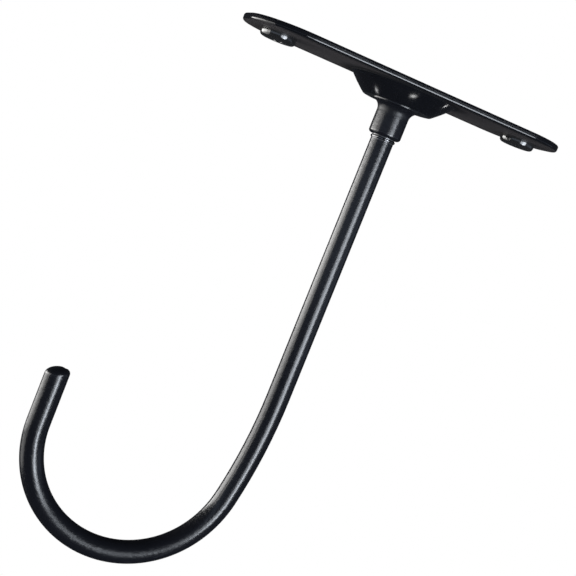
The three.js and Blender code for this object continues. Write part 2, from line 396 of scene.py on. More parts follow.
def wing_loop(inset, height):
    """Closed loop round a wing: its outline at that inset, then back along the pad's end line."""
    centres, directions = wing_rim()
    outline = centres + (PLATE_CORNER_RADIUS - inset) * directions
    end_line = pad_edge(0)[1:PAD_END_CUTS, :2][::-1]
    loop = np.concatenate([outline, end_line])
    return np.concatenate([loop, np.full((len(loop), 1), height)], 1)


def hole_turns(loop):
    """Angles of a loop's points about the screw's axis, at which the hole's points lie too."""
    return np.arctan2(loop[:, 1], loop[:, 0] - SCREW_PLACE)


def rim_profile():
    """The rim's section (inset, height): from the flat underside round a quarter of an ellipse, up
    the wall, and round the upper edge to the flat of the upper face."""
    turn = np.linspace(0, np.pi / 2, ROLL_CUTS + 1)
    height = PLATE_UNDERSIDE + PLATE_ROLL_HEIGHT * (1 - np.cos(turn))
    rolled_edge = np.stack([PLATE_ROLL_INSET * (1 - np.sin(turn)), height], 1)
    upper = rounded_profile([
        (0, PLATE_UNDERSIDE + PLATE_ROLL_HEIGHT),
        (0, 0, PLATE_EDGE_ROUNDING),
        (FLAT_INSET, 0),
    ])
    return np.concatenate([[(FLAT_INSET, PLATE_UNDERSIDE)], rolled_edge, upper[1:]])


def cone_points():
    """Points (radius, height) down the cone's outside, clear of its two roundings. They stand proud
    of a straight line by the bulge times 4s(1 - s), where s is the share of the way down."""
    share = np.linspace(0, 1, CONE_CUTS + 1)[2:-2]
    proud = BOSS_CONE_BULGE * 4 * share * (1 - share)
    return np.stack([BOSS_ROOT_RADIUS - BOSS_CONE_RUN * share + proud * BOSS_DEPTH / BOSS_SLANT,
                     PLATE_UNDERSIDE - BOSS_DEPTH * share - proud * BOSS_CONE_RUN / BOSS_SLANT], 1)


def hollow_radius(height):
    """Radius of the hollow's cone at a height: the outer cone's, less the thickness of the slanting
    sheet measured level."""
    setback = PLATE_THICKNESS * BOSS_SLANT / BOSS_DEPTH
    return BOSS_FLOOR_RADIUS + (height - BOSS_UNDERSIDE) * BOSS_CONE_RUN / BOSS_DEPTH - setback


def flat_start(radius, rounding):
    """Radius at which the flat starts, beside a rounding between flat and cone: the rounding takes
    up its own radius times the tangent of half the angle that it turns through."""
    return radius + rounding * np.tan(BOSS_CONE_TURN / 2) + SUPPORT / 2


def boss_profile():
    """The boss's section (radius, height) from the plate's underside down the cone, in under the
    floor, up through the spigot hole, and out and up the hollow to the upper face."""
    mouth = hollow_radius(0)
    return rounded_profile([
        (flat_start(BOSS_ROOT_RADIUS, BOSS_ROOT_FILLET), PLATE_UNDERSIDE),
        (BOSS_ROOT_RADIUS, PLATE_UNDERSIDE, BOSS_ROOT_FILLET),
        *cone_points().tolist(),
        (BOSS_FLOOR_RADIUS, BOSS_UNDERSIDE, BOSS_FLOOR_ROUNDING),
        (SPIGOT_HOLE_RADIUS, BOSS_UNDERSIDE),
        (SPIGOT_HOLE_RADIUS, HOLLOW_FLOOR),
        (hollow_radius(HOLLOW_FLOOR), HOLLOW_FLOOR, BOSS_HOLLOW_FILLET),
        (mouth, 0, BOSS_MOUTH_ROUNDING),
        (flat_start(mouth, BOSS_MOUTH_ROUNDING), 0),
    ])


def wing_grids():
    """The +X wing: its screw hole revolved about the screw's axis, and the flats below and above as
    straight lines from the hole to the wing's outline."""
    below = wing_loop(FLAT_INSET, PLATE_UNDERSIDE)
    above = wing_loop(FLAT_INSET, 0)
    hole_flat = SCREW_HOLE_RADIUS + HOLE_ROUNDING + SUPPORT
    hole = revolved(rounded_profile([
        (hole_flat, PLATE_UNDERSIDE),
        (SCREW_HOLE_RADIUS, PLATE_UNDERSIDE, HOLE_ROUNDING),
        (SCREW_HOLE_RADIUS, 0, HOLE_ROUNDING),
        (hole_flat, 0),
    ]), hole_turns(below), SCREW_PLACE)
    return [hole, ruled(hole[0], below, FLAT_ROWS), ruled(hole[-1], above, FLAT_ROWS)]


def plate_grids():
    """The revolved boss, the flats from it to its pad's edge, the rim, and the two wings. The wing
    on the -X side is the +X one after half a turn about the Z axis."""
    boss = revolved(boss_profile(), pad_turns())
    flats = [ruled(boss[0], pad_edge(PLATE_UNDERSIDE), FLAT_ROWS),
             ruled(boss[-1], pad_edge(0), FLAT_ROWS)]
    wing = wing_grids()
    half_turn = np.array([-1, -1, 1])
    return [boss, *flats, rim_strip(rim_profile()), *wing, *(grid * half_turn for grid in wing)]


# ---- Collar and washer ----

def collar_grids():
    """The collar's closed section revolved about the Z axis."""
    foot = COLLAR_RADIUS + COLLAR_FOOT_FILLET
    lip = BOSS_UNDERSIDE - COLLAR_FOOT_LIP
    return [revolved(rounded_profile([
        (COLLAR_BORE_RADIUS, COLLAR_RIM, COLLAR_BORE_ROUNDING),
        (COLLAR_RADIUS, COLLAR_RIM, COLLAR_RIM_ROUNDING),
        (COLLAR_RADIUS, lip, COLLAR_FOOT_FILLET),
        (foot, lip),
        (foot, BOSS_UNDERSIDE),
        (SPIGOT_RADIUS, BOSS_UNDERSIDE),
        (SPIGOT_RADIUS, HOLLOW_FLOOR),
        (CLINCH_RADIUS, HOLLOW_FLOOR),
        (CLINCH_RADIUS, CLINCH_TOP, CLINCH_ROUNDING),
        (COLLAR_BORE_RADIUS, CLINCH_TOP),
    ], closed=True), even_turns(ROUND_COLUMNS))]


def washer_grids():
    """The washer's closed section revolved about the Z axis."""
    return [revolved(rounded_profile([
        (WASHER_BORE_RADIUS, CLINCH_TOP, WASHER_ROUNDING),
        (WASHER_RADIUS, CLINCH_TOP, WASHER_ROUNDING),
        (WASHER_RADIUS, WASHER_TOP, WASHER_ROUNDING),
        (WASHER_BORE_RADIUS, WASHER_TOP, WASHER_ROUNDING),
    ], closed=True), even_turns(ROUND_COLUMNS))]


# ---- Rod ----

# Runs of the centreline from the rod's top, as (length, bend radius), 0 where it is straight
ROD_RUNS = [(ROD_TOP - COLLAR_RIM + SHANK_LENGTH, 0)]
ROD_RUNS += [(radius * angle, radius) for radius, angle in (EASY_BEND, MIDDLE_BEND, HOOK_BEND)]
ROD_RUNS += [(TIP_LENGTH, 0)]
ROD_LENGTH = sum(length for length, _ in ROD_RUNS)


def rod_line(distance):
    """Place and turn of the centreline at each distance from the rod's top: down where straight,
    along a circle of the run's radius in the y = 0 plane where bent, and straight on past the
    rod's end."""
    left = np.asarray(distance, float).copy()
    x, z, turn = 0 * left, 0 * left + ROD_TOP, 0 * left
    for length, radius in ROD_RUNS:
        step = np.clip(left, 0, length)
        if radius == 0:
            x, z = x - np.sin(turn) * step, z - np.cos(turn) * step
        else:
            after = turn + step / radius
            x = x - radius * (np.cos(turn) - np.cos(after))
            z = z - radius * (np.sin(after) - np.sin(turn))
            turn = after
        left = left - step
    return x - np.sin(turn) * left, z - np.cos(turn) * left, turn


def bend_rings():
    """Distances from the rod's top that cut each bend into even steps of at most BEND_STEP."""
    rings = []
    start = 0
    for length, radius in ROD_RUNS:
        if radius:
            count = int(np.ceil(length / radius / BEND_STEP))
            rings.append(start + length * np.arange(1, count + 1) / count)
        start += length
    return np.concatenate(rings)


def plain_bar(distance):
    """Points (radius, distance) at the bar's full radius."""
    return np.stack([np.full_like(distance, ROD_RADIUS), distance], 1)


def dome_profile(end):
    """Points (radius, distance) of the tip's dome, a quarter of a superellipse from the bar's side
    to the axis at the end."""
    turn = np.linspace(0, np.pi / 2, TIP_RINGS + 1)[1:]
    power = 2 / TIP_DOME_POWER
    dome = np.stack([ROD_RADIUS * np.abs(np.cos(turn)) ** power,
                     end - TIP_DOME * (1 - np.sin(turn) ** power)], 1)
    dome[-1, 0] = 0
    return dome


def straight_rod_profile():
    """The rod before it is bent, as (radius, distance from its top): head, shank, bead and tip."""
    bead_top = ROD_TOP - COLLAR_RIM + BEAD_PLAY
    bead = ROD_RADIUS + BEAD_PROUD
    upper = rounded_profile([
        (0, 0),
        (HEAD_RADIUS, 0, HEAD_ROUNDING),
        (HEAD_RADIUS, HEAD_THICKNESS),
        (ROD_RADIUS, HEAD_THICKNESS, HEAD_NECK_FILLET),
        (ROD_RADIUS, bead_top),
        (bead, bead_top, BEAD_PROUD),
        (bead, bead_top + BEAD_LENGTH, BEAD_PROUD),
        (ROD_RADIUS, bead_top + BEAD_LENGTH),
        (ROD_RADIUS, ROD_RUNS[0][0]),
    ])
    end = ROD_LENGTH + TIP_DOME_PROUD
    arm = np.linspace(ROD_LENGTH - TIP_LENGTH, end - TIP_DOME, TIP_RINGS + 1)[1:]
    return np.concatenate([upper, plain_bar(bend_rings()), plain_bar(arm), dome_profile(end)])


def rod_grids():
    """The straight rod's line revolved, then each point carried to the bent centreline: its part in
    the bending plane is laid across the centreline there. As the shears left it, the tip is drawn
    out by an even slant, and set back by a nick whose depth falls off as exp(-t^2) across it."""
    profile = straight_rod_profile()
    turns = even_turns(ROD_COLUMNS)
    radius, distance = profile[:, :1], profile[:, 1:] + 0 * turns
    across = radius * np.cos(turns)
    share = radius / ROD_RADIUS
    cut_across = -share * np.cos(turns + TIP_CUT_TURN)
    cut_along = share * np.sin(turns + TIP_CUT_TURN)
    slant = TIP_SLANT * cut_across - TIP_LEAN * cut_along
    slant = slant * smooth_step((distance - ROD_LENGTH + TIP_SLANT_START) / TIP_SLANT_RUN)
    nick = TIP_NICK * np.exp(-((cut_across - TIP_NICK_PLACE) / TIP_NICK_REACH) ** 2)
    nick = nick * smooth_step((cut_along + TIP_NICK_START) / TIP_NICK_START)
    dome_share = (distance - ROD_LENGTH - TIP_DOME_PROUD + TIP_DOME) / TIP_DOME
    nick = nick * smooth_step(dome_share * 2)
    x, z, turn = rod_line(distance + slant - nick)
    place = [x + across * np.cos(turn), radius * np.sin(turns) + 0 * x, z - across * np.sin(turn)]
    return [np.stack(place, -1)]


# ---- Screws ----

SCREW_COLUMNS = 240
THREAD_COLUMNS = 60
THREAD_PITCH = 2
THREAD_CORE = 1.65
THREAD_CREST = 2.35
THREAD_CREST_SHARE = 0.3
THREAD_ROWS_PER_PITCH = 16
PLAIN_NECK = 3
NECK_OVERLAP = 0.2
RECESS_LIP = 0.06
RECESS_EDGE_SHARPNESS = 14
RECESS_CONE = 0.25
FACE_RING = SCREW_HEAD_RADIUS - SCREW_HEAD_ROLL
HEAD_ROLL_POWER = 3.5
HEAD_ROLL_CUTS = 24
RECESS_WALL_CUTS = 5
HEAD_FACE_CUTS = 5


def cross_edge(turns, span, wing):
    """Distance from the axis to the edge of a cross, along each angle: the nearer of the wing's end
    and the wing's side, blended a little at the corners."""
    local = (turns + np.pi / 4) % (np.pi / 2) - np.pi / 4
    end = span / 2 / np.cos(local)
    side = wing / 2 / np.maximum(np.abs(np.sin(local)), SMALLEST_DIVISOR)
    power = RECESS_EDGE_SHARPNESS
    return ((end / span) ** -power + (side / span) ** -power) ** (-1 / power) * span


def face_height(radius):
    """Height of the head's face: lowest at the axis, rising with the square of the radius."""
    return SCREW_FACE + SCREW_HEAD_CROWN * (radius / SCREW_HEAD_RADIUS) ** 2


def head_grid():
    """Loops from the middle of the recess's floor, along its tapering wall to the face, out over
    the face, up the side, which is a quarter of a superellipse, and in under the plate."""
    turns = even_turns(SCREW_COLUMNS)
    floor = cross_edge(turns, RECESS_FLOOR_SPAN, RECESS_FLOOR_WING)
    mouth = cross_edge(turns, RECESS_SPAN, RECESS_WING)
    lip = cross_edge(turns, RECESS_SPAN + 2 * RECESS_LIP, RECESS_WING + 2 * RECESS_LIP)
    floor_height = SCREW_FACE + RECESS_DEPTH
    loops = [(0 * turns, floor_height + RECESS_CONE + 0 * turns),
             (floor, floor_height + 0 * turns)]
    for share in np.linspace(0, 1, RECESS_WALL_CUTS + 1)[1:]:
        top = face_height(mouth) + RECESS_LIP
        loops.append((floor + (mouth - floor) * share, floor_height + (top - floor_height) * share))
    loops.append((lip, face_height(lip)))
    for share in np.linspace(0, 1, HEAD_FACE_CUTS + 1)[1:]:
        radius = lip + (FACE_RING - lip) * share
        loops.append((radius, face_height(radius)))
    roll = np.linspace(0, np.pi / 2, HEAD_ROLL_CUTS + 1)[1:]
    power = 2 / HEAD_ROLL_POWER
    out = FACE_RING + SCREW_HEAD_ROLL * np.sin(roll) ** power
    rise = PLATE_UNDERSIDE - face_height(FACE_RING)
    up = PLATE_UNDERSIDE - rise * np.cos(roll) ** power
    rim = np.concatenate([np.stack([out, up], 1), [(0, PLATE_UNDERSIDE)]])
    radius = np.concatenate([[loop[0] for loop in loops], rim[:, :1] + 0 * turns])
    height = np.concatenate([[loop[1] for loop in loops], rim[:, 1:] + 0 * turns])
    return np.stack([radius * np.cos(turns), radius * np.sin(turns), height], -1)


def thread_grid():
    """The shank: at each height and angle the radius is the core's, raised where the thread's helix
    passes, and the whole tapers to the point over its last run."""
    end = PLATE_UNDERSIDE + SCREW_LENGTH
    start = PLATE_UNDERSIDE - NECK_OVERLAP
    rows = int((end - start) / THREAD_PITCH * THREAD_ROWS_PER_PITCH)
    height = np.linspace(start, end, rows)[:, None]
    turns = even_turns(THREAD_COLUMNS)
    phase = (height / THREAD_PITCH - turns / FULL_TURN) % 1
    ridge = np.clip(1 - np.abs(phase - 0.5) / THREAD_CREST_SHARE, 0, 1)
    threaded = smooth_step((height - PLATE_UNDERSIDE - PLAIN_NECK) / THREAD_PITCH)
    core = SCREW_SHANK_RADIUS + (THREAD_CORE - SCREW_SHANK_RADIUS) * threaded
    taper = np.sqrt(np.clip((end - height) / SCREW_POINT_LENGTH, 0, 1))
    radius = (core + (THREAD_CREST - THREAD_CORE) * ridge * threaded) * taper
    grid = np.stack([radius * np.cos(turns), radius * np.sin(turns), height + 0 * radius], -1)
    cap = grid[:1] * np.array([0, 0, 1])
    return np.concatenate([cap, grid])


def screw_grids(x, turn):
    """The head and the shank turned by an angle about the screw's own axis and set at x."""
    spin = np.array([[np.cos(turn), np.sin(turn), 0], [-np.sin(turn), np.cos(turn), 0], [0, 0, 1]])
    return [grid @ spin + np.array([x, 0, 0]) for grid in (head_grid(), thread_grid())]


# ---- Finishes ----

# Tones of each coat: the two that its mottle mixes, and the paler one of its thin edges
SATIN_TONES = [(0.005, 0.0056, 0.0085), (0.008, 0.0088, 0.0125), (0.014, 0.015, 0.019)]
PLATE_TONES = [(0.004, 0.0045, 0.0065), (0.007, 0.0077, 0.010), (0.012, 0.0128, 0.016)]
SCREW_TONES = [(0.012, 0.012, 0.013), (0.020, 0.020, 0.021), (0.06, 0.058, 0.055)]
# A paler black that paints the sheen of light from below on the underside's flats
PAINTED_SHEEN_BLACK = (0.046, 0.042, 0.045)
RUBBED_STEEL = (0.16, 0.16, 0.165)
ZINC_TONES = [(0.5, 0.51, 0.53), (0.66, 0.67, 0.69)]

# Scales of the patterns, per metre, the parts of their ranges that are drawn out to 0 and 1, and
# the height of the zinc's turned rings in mm
MOTTLE_SCALE = 140.0
MOTTLE_RANGE = (0.3, 0.7)
WEAR_SCALE = 700.0
WEAR_RANGE = (0.4, 0.62)
EDGE_RANGE = (0.53, 0.6)
GRAIN_SHARE = 0.35
ZINC_RING_SCALE = 900.0
ZINC_RING_WAVER = 1.5
ZINC_RING_HEIGHT = 0.01
ZINC_RING_STRENGTH = 0.4
ZINC_MOTTLE_SCALE = 500.0
ZINC_ROUGHNESS = (0.22, 0.42)

# Places of the masks in mm: the rubbed seat of the bend, the band where the collar's side runs out,
# the flat underside with the boss's root, and how far from boss and long edges the painted sheen
# fades
SEAT_TOP = -129
SEAT_BOTTOM = -139
COLLAR_FOOT_MIDDLE = BOSS_UNDERSIDE - 0.9 * COLLAR_FOOT_FILLET
COLLAR_FOOT_REACH = COLLAR_FOOT_FILLET / 2
DULL_ROOT = 0.1
DULL_REACH = 0.28
PAINTED_SHEEN_FADE = 4


def feed(node, inputs):
    """Gives each of a node's inputs a value, or links it to an output."""
    for name, value in inputs.items():
        if isinstance(value, bpy.types.NodeSocket):
            node.id_data.links.new(value, node.inputs[name])
        else:
            node.inputs[name].default_value = value


def add_node(tree, kind, inputs=None, **settings):
    """A node with its settings made and its inputs fed."""
    node = tree.nodes.new(kind)
    for setting, value in settings.items():
        setattr(node, setting, value)
    feed(node, inputs or {})
    return node


def calculated(tree, operation, *values):
    """The result of an operation on one or two values."""
    return add_node(tree, "ShaderNodeMath", dict(enumerate(values)), operation=operation).outputs[0]


def mapped(tree, value, start, end, first=0.0, last=1.0):
    """The first amount up to the start, the last from the end on, and an even change between."""
    return add_node(tree, "ShaderNodeMapRange", {
        "Value": value, "From Min": start, "From Max": end,
        "To Min": first, "To Max": last}).outputs["Result"]


def noise(tree, place, scale, detail, roughness=0.5):
    """Noise from 0 to 1, by its cells per metre, its number of finer layers and their weight."""
    return add_node(tree, "ShaderNodeTexNoise", {
        "Vector": place, "Scale": scale, "Detail": detail, "Roughness": roughness}).outputs["Fac"]


def mixed(tree, share, first, second):
    """The first colour at a share of 0 and the second at 1. Only the first may be a linked one."""
    if not isinstance(first, bpy.types.NodeSocket):
        first = (*first, 1)
    inputs = {0: share, 6: first, 7: (*second, 1)}
    return add_node(tree, "ShaderNodeMix", inputs, data_type="RGBA").outputs[2]


def height_of(tree, place):
    """Height of a point above the ceiling plane, so less than 0 on the hook."""
    return add_node(tree, "ShaderNodeSeparateXYZ", {0: place}).outputs["Z"]


def distance_off_axis(tree, place):
    """Length of a point's level part, which is its distance from the Z axis."""
    level = add_node(tree, "ShaderNodeVectorMath", {0: place, 1: (1, 1, 0)}, operation="MULTIPLY")
    reach = add_node(tree, "ShaderNodeVectorMath", {0: level.outputs[0]}, operation="LENGTH")
    return reach.outputs["Value"]


def new_group(name, inputs, outputs):
    """An empty shader node group with (name, kind, value) inputs and float outputs. With it come
    the sockets that give its inputs and the node that takes its outputs."""
    group = bpy.data.node_groups.new(name, "ShaderNodeTree")
    for label, kind, value in inputs:
        socket = group.interface.new_socket(label, in_out="INPUT", socket_type="NodeSocket" + kind)
        if value is not None:
            socket.default_value = value
    for label in outputs:
        group.interface.new_socket(label, in_out="OUTPUT", socket_type="NodeSocketFloat")
    return group, add_node(group, "NodeGroupInput").outputs, add_node(group, "NodeGroupOutput")


def orange_peel_group():
    """Powder-coat surface: soft waves of one size with a finer grain on them, and a slow mottle."""
    group, given, out = new_group("orange_peel", [
        ("Place", "Vector", None), ("Waves Per Metre", "Float", 900.0),
        ("Grain Per Metre", "Float", 3200.0), ("Grain Share", "Float", GRAIN_SHARE)],
        ["Height", "Mottle"])
    waves = noise(group, given["Place"], given["Waves Per Metre"], detail=1.0, roughness=0.4)
    grain = noise(group, given["Place"], given["Grain Per Metre"], detail=2.0)
    height = add_node(group, "ShaderNodeMix", {
        "Factor": given["Grain Share"], "A": waves, "B": grain})
    mottle = noise(group, given["Place"], MOTTLE_SCALE, detail=3.0, roughness=0.6)
    feed(out, {"Height": height.outputs["Result"], "Mottle": mottle})
    return group


def worn_edge_group():
    """A mask of the convex edges, broken up by noise, where a coat is thinner."""
    group, given, out = new_group("worn_edge", [
        ("Place", "Vector", None), ("Start", "Float", EDGE_RANGE[0]),
        ("End", "Float", EDGE_RANGE[1])], ["Mask"])
    bend = add_node(group, "ShaderNodeNewGeometry").outputs["Pointiness"]
    edge = mapped(group, bend, given["Start"], given["End"])
    patches = noise(group, given["Place"], WEAR_SCALE, detail=3.0, roughness=0.6)
    patches = mapped(group, patches, *WEAR_RANGE)
    feed(out, {"Mask": calculated(group, "MULTIPLY", edge, patches)})
    return group


def height_band_group():
    """A mask that is 1 within half the reach of its middle height and falls to 0 at the reach."""
    group, given, out = new_group("height_band", [
        ("Place", "Vector", None), ("Middle", "Float", 0.0), ("Reach", "Float", MM)], ["Mask"])
    off = calculated(group, "SUBTRACT", height_of(group, given["Place"]), given["Middle"])
    away = calculated(group, "ABSOLUTE", off)
    half_reach = calculated(group, "MULTIPLY", given["Reach"], 0.5)
    feed(out, {"Mask": mapped(group, away, given["Reach"], half_reach)})
    return group


GROUPS = {"orange_peel": orange_peel_group(), "worn_edge": worn_edge_group(),
          "height_band": height_band_group()}


def place_group(tree, name, inputs):
    """The outputs of a shared group that is placed in a material with its own values."""
    return add_node(tree, "ShaderNodeGroup", inputs, node_tree=GROUPS[name]).outputs


def height_band(tree, place, middle, reach):
    """The height_band mask about a height, both lengths in mm."""
    return place_group(tree, "height_band", {
        "Place": place, "Middle": middle * MM, "Reach": reach * MM})["Mask"]


def hook_seat_mask(tree, place):
    """1 on the lowest part of the bend, where what hangs there rubs the coat dull."""
    return mapped(tree, height_of(tree, place), SEAT_TOP * MM, SEAT_BOTTOM * MM)


def stop_bead_mask(tree, place):
    """1 on the stop bead under the collar's rim, which the rim burnishes as the rod turns."""
    return height_band(tree, place, COLLAR_RIM - BEAD_PLAY - BEAD_LENGTH / 2, BEAD_LENGTH)


def collar_foot_mask(tree, place):
    """1 where the collar's side runs out into its foot, and the coat lies a little duller."""
    return height_band(tree, place, COLLAR_FOOT_MIDDLE, COLLAR_FOOT_REACH)


def flat_underside_mask(tree, place):
    """1 on the plate's flat underside and the root of the boss, 0 on the stretched metal of the
    cone and on the rolled edge."""
    return height_band(tree, place, PLATE_UNDERSIDE - DULL_ROOT, DULL_REACH)


def painted_sheen_mask(tree, place):
    """Painted sheen on the underside: 1 on the flats beside the boss, fading to 0 as painted shade
    near the boss and near the plate's long edges.
    """
    clear_of_boss = mapped(tree, distance_off_axis(tree, place), BOSS_ROOT_RADIUS * MM,
                           (BOSS_ROOT_RADIUS + PAINTED_SHEEN_FADE) * MM)
    across = add_node(tree, "ShaderNodeSeparateXYZ", {0: place}).outputs["Y"]
    clear_of_edges = mapped(tree, calculated(tree, "ABSOLUTE", across), PLATE_WIDTH / 2 * MM,
                            (PLATE_WIDTH / 2 - PAINTED_SHEEN_FADE) * MM)
    wings = calculated(tree, "MULTIPLY", clear_of_boss, clear_of_edges)
    return calculated(tree, "MULTIPLY", wings, flat_underside_mask(tree, place))


def new_finish(name):
    """An empty material: its node tree, its Principled BSDF and the piece's own coordinates."""
    material = bpy.data.materials.new(name)
    material.use_nodes = True
    tree = material.node_tree
    place = add_node(tree, "ShaderNodeTexCoord").outputs["Object"]
    return material, tree, tree.nodes["Principled BSDF"], place


def coated_black(name, tones, roughness, waves, grain, bump, specular, clear_coat, clear_roughness,
                 changes=(), bare=None, matt=None, rubbed=None):
    """A black coat on metal: two near-black tones and two roughnesses mixed by a slow mottle, a
    paler tone on thin edges, and the orange-peel height as bump. Each of the changes is a mask and
    the roughness it adds. The clear top coat is missing where the bare mask is 1, the matt mask
    turns the colour to a paler black that paints a sheen of light, and the rubbed mask lets dark
    steel through."""
    material, tree, shader, place = new_finish(name)
    peel = place_group(tree, "orange_peel", {
        "Place": place, "Waves Per Metre": waves, "Grain Per Metre": grain})
    worn = place_group(tree, "worn_edge", {"Place": place})["Mask"]
    colour = mixed(tree, peel["Mottle"], tones[0], tones[1])
    colour = mixed(tree, worn, colour, tones[2])
    # The matt mask paints a sheen of light: a paler black, with painted shade where it fades out
    if matt:
        colour = mixed(tree, matt(tree, place), colour, PAINTED_SHEEN_BLACK)
    metal = 0.0
    if rubbed:
        metal = rubbed(tree, place)
        colour = mixed(tree, metal, colour, RUBBED_STEEL)
    rough = mapped(tree, peel["Mottle"], *MOTTLE_RANGE, *roughness)
    for mask, amount in changes:
        more = calculated(tree, "MULTIPLY", mask(tree, place), amount)
        rough = calculated(tree, "ADD", rough, more)
    if bare:
        clear_coat = mapped(tree, bare(tree, place), 0.0, 1.0, clear_coat, 0.0)
    relief = add_node(tree, "ShaderNodeBump", {
        "Height": peel["Height"], "Strength": 1.0, "Distance": bump})
    feed(shader, {
        "Base Color": colour, "Metallic": metal, "Roughness": rough,
        "Normal": relief.outputs["Normal"], "Specular IOR Level": specular,
        "Coat Weight": clear_coat, "Coat Roughness": clear_roughness})
    return material


def zinc_plated(name):
    """Bright zinc: a slightly blue grey metal whose tone and roughness are mottled, with turned
    rings about the Z axis as bump."""
    material, tree, shader, place = new_finish(name)
    rings = add_node(tree, "ShaderNodeTexWave", {
        "Vector": place, "Scale": ZINC_RING_SCALE, "Distortion": ZINC_RING_WAVER, "Detail": 2.0},
        wave_type="RINGS", rings_direction="Z")
    mottle = noise(tree, place, ZINC_MOTTLE_SCALE, detail=3.0)
    relief = add_node(tree, "ShaderNodeBump", {
        "Height": rings.outputs["Fac"], "Strength": ZINC_RING_STRENGTH,
        "Distance": ZINC_RING_HEIGHT * MM})
    feed(shader, {
        "Base Color": mixed(tree, mottle, *ZINC_TONES), "Metallic": 1.0,
        "Roughness": mapped(tree, mottle, 0.0, 1.0, *ZINC_ROUGHNESS),
        "Normal": relief.outputs["Normal"]})
    return material


BLACK_COLLAR_COAT = coated_black(
    "black_collar_coat", SATIN_TONES, roughness=(0.21, 0.27), waves=900.0, grain=3200.0,
    bump=0.03 * MM, specular=0.5, clear_coat=0.35, clear_roughness=0.15,
    changes=[(collar_foot_mask, 0.17)], bare=collar_foot_mask)
BLACK_ROD_COAT = coated_black(
    "black_rod_coat", SATIN_TONES, roughness=(0.22, 0.28), waves=900.0, grain=2600.0,
    bump=0.14 * MM, specular=0.25, clear_coat=0.65, clear_roughness=0.19,
    changes=[(hook_seat_mask, 0.1), (stop_bead_mask, -0.15)], bare=hook_seat_mask,
    rubbed=stop_bead_mask)
# The underside's flats get a painted sheen, fading to painted shade near the boss and long edges
BLACK_PLATE_COAT = coated_black(
    "black_plate_coat", PLATE_TONES, roughness=(0.11, 0.16), waves=600.0, grain=2600.0,
    bump=0.003 * MM, specular=0.35, clear_coat=0.25, clear_roughness=0.1,
    changes=[(flat_underside_mask, 0.5)], bare=flat_underside_mask, matt=painted_sheen_mask)
BLACK_SCREW_COAT = coated_black(
    "black_screw_coat", SCREW_TONES, roughness=(0.10, 0.15), waves=1500.0, grain=5000.0,
    bump=0.004 * MM, specular=0.8, clear_coat=0.4, clear_roughness=0.08)
ZINC_PLATE = zinc_plated("bright_zinc")


# ---- Studio ----

# Lengths in metres, and colours as (red, green, blue)
LAMP_DISTANCE = 900 * MM
SKY_STRENGTH = 0.15
FLOOR_HEIGHT = -520 * MM
FLOOR_RADIUS = 480 * MM
FLOOR_FADE_START = 260 * MM
FLOOR_SIDES = 96
FLOOR_COLOUR = (0.86, 0.86, 0.86)
CEILING_HEIGHT = 0.4 * MM
CEILING_SIDE = 1.6
SURROUND_RADIUS = 3
SURROUND_CUTS = 4
FLAG_COLOUR = (0.8, 0.87, 1)
FLAG_RADIANCE = 0.03
WHITE = (1, 1, 1)
WARM_WHITE = (1.0, 0.99, 0.97)
COOL_WHITE = (0.86, 0.92, 1.0)
PALE_BLUE = (0.68, 0.80, 1.0)

# Upright lamps round the hook: from and to, in degrees to the right of the camera's side, lowest
# and highest edge in mm from the ceiling plane, radiance and colour
LAMPS = {
    "left_softbox": (-126, -76, -170, 38, 5.8, WARM_WHITE),
    "left_falloff": (-76, -54, -200, 38, 2.8, WARM_WHITE),
    "left_foot": (-122, -77, -420, -170, 2.9, WARM_WHITE),
    "left_foot_falloff": (-77, -56, -420, -200, 1.4, WARM_WHITE),
    "left_low": (-110, -62, -900, -480, 1.1, WARM_WHITE),
    "front_fill": (-54, 12, -120, 20, 0.45, PALE_BLUE),
    "right_falloff": (19, 35, -290, 20, 4.6, COOL_WHITE),
    "right_strip": (35, 56, -290, 40, 8.5, COOL_WHITE),
    "right_foot_falloff": (20, 35, -420, -290, 1.8, COOL_WHITE),
    "right_foot": (35, 50, -420, -290, 15.0, COOL_WHITE),
    "far_right_fill": (56, 115, -220, 20, 0.25, PALE_BLUE),
}

# Small lamps under the boss, whose light stays in a narrow cone so that it misses the collar: place
# and aim in mm, width along the boss's round, depth and radiance
GLINT_CONE = np.radians(5)
GLINTS = {
    "boss_glint_front": ((8.6, -16, -45), (-1.8, -12.8, -3.6), 9, 2, 14.0),
    "boss_glint_left": ((-23, 19.5, -45.6), (-9.2, -6.0, -5.6), 4, 3, 9.0),
    "boss_glint_right": ((72, 24.7, -44), (8.4, -11.5, -2.5), 3, 3, 9.0),
}


def area_lamp(name, place, back, across, width, height, radiance, colour, cone=np.pi / 2):
    """A rectangular lamp that shines away from its back direction, its width lying along the across
    direction. Its power is four times its area times its radiance, less where its light stays
    within a narrower cone about that direction."""
    data = bpy.data.lights.new(name, "AREA")
    data.shape = "RECTANGLE"
    data.size = width
    data.size_y = height
    data.spread = 2 * cone
    data.energy = 4 * width * height * radiance * (1 - cone / np.tan(cone))
    data.color = colour
    lamp = bpy.data.objects.new(name, data)
    back = back.normalized()
    up = back.cross(across).normalized()
    facing = Matrix((up.cross(back), up, back)).transposed().to_4x4()
    lamp.matrix_world = Matrix.Translation(place) @ facing
    lamp.visible_camera = False
    bpy.context.collection.objects.link(lamp)


def add_lamp(name, first_side, last_side, bottom, top, radiance, colour):
    """An upright lamp that fills the given range of sides and heights as the hook sees it."""
    turn = np.radians((first_side + last_side) / 2) - CAMERA_AZIMUTH
    arm = Vector((np.sin(turn), -np.cos(turn), 0))
    width = 2 * LAMP_DISTANCE * np.tan(np.radians(last_side - first_side) / 2)
    place = arm * LAMP_DISTANCE + Vector((0, 0, (bottom + top) / 2 * MM))
    across = Vector((-arm.y, arm.x, 0))
    area_lamp(name, place, arm, across, width, (top - bottom) * MM, radiance, colour)


def add_glint(name, place, aim, width, depth, radiance):
    """A small lamp that faces the place where its mirror image shows on the boss."""
    place = Vector(place) * MM
    aim = Vector(aim) * MM
    across = Vector((-aim.y, aim.x, 0))
    area_lamp(name, place, place - aim, across, width * MM, depth * MM, radiance, WHITE, GLINT_CONE)


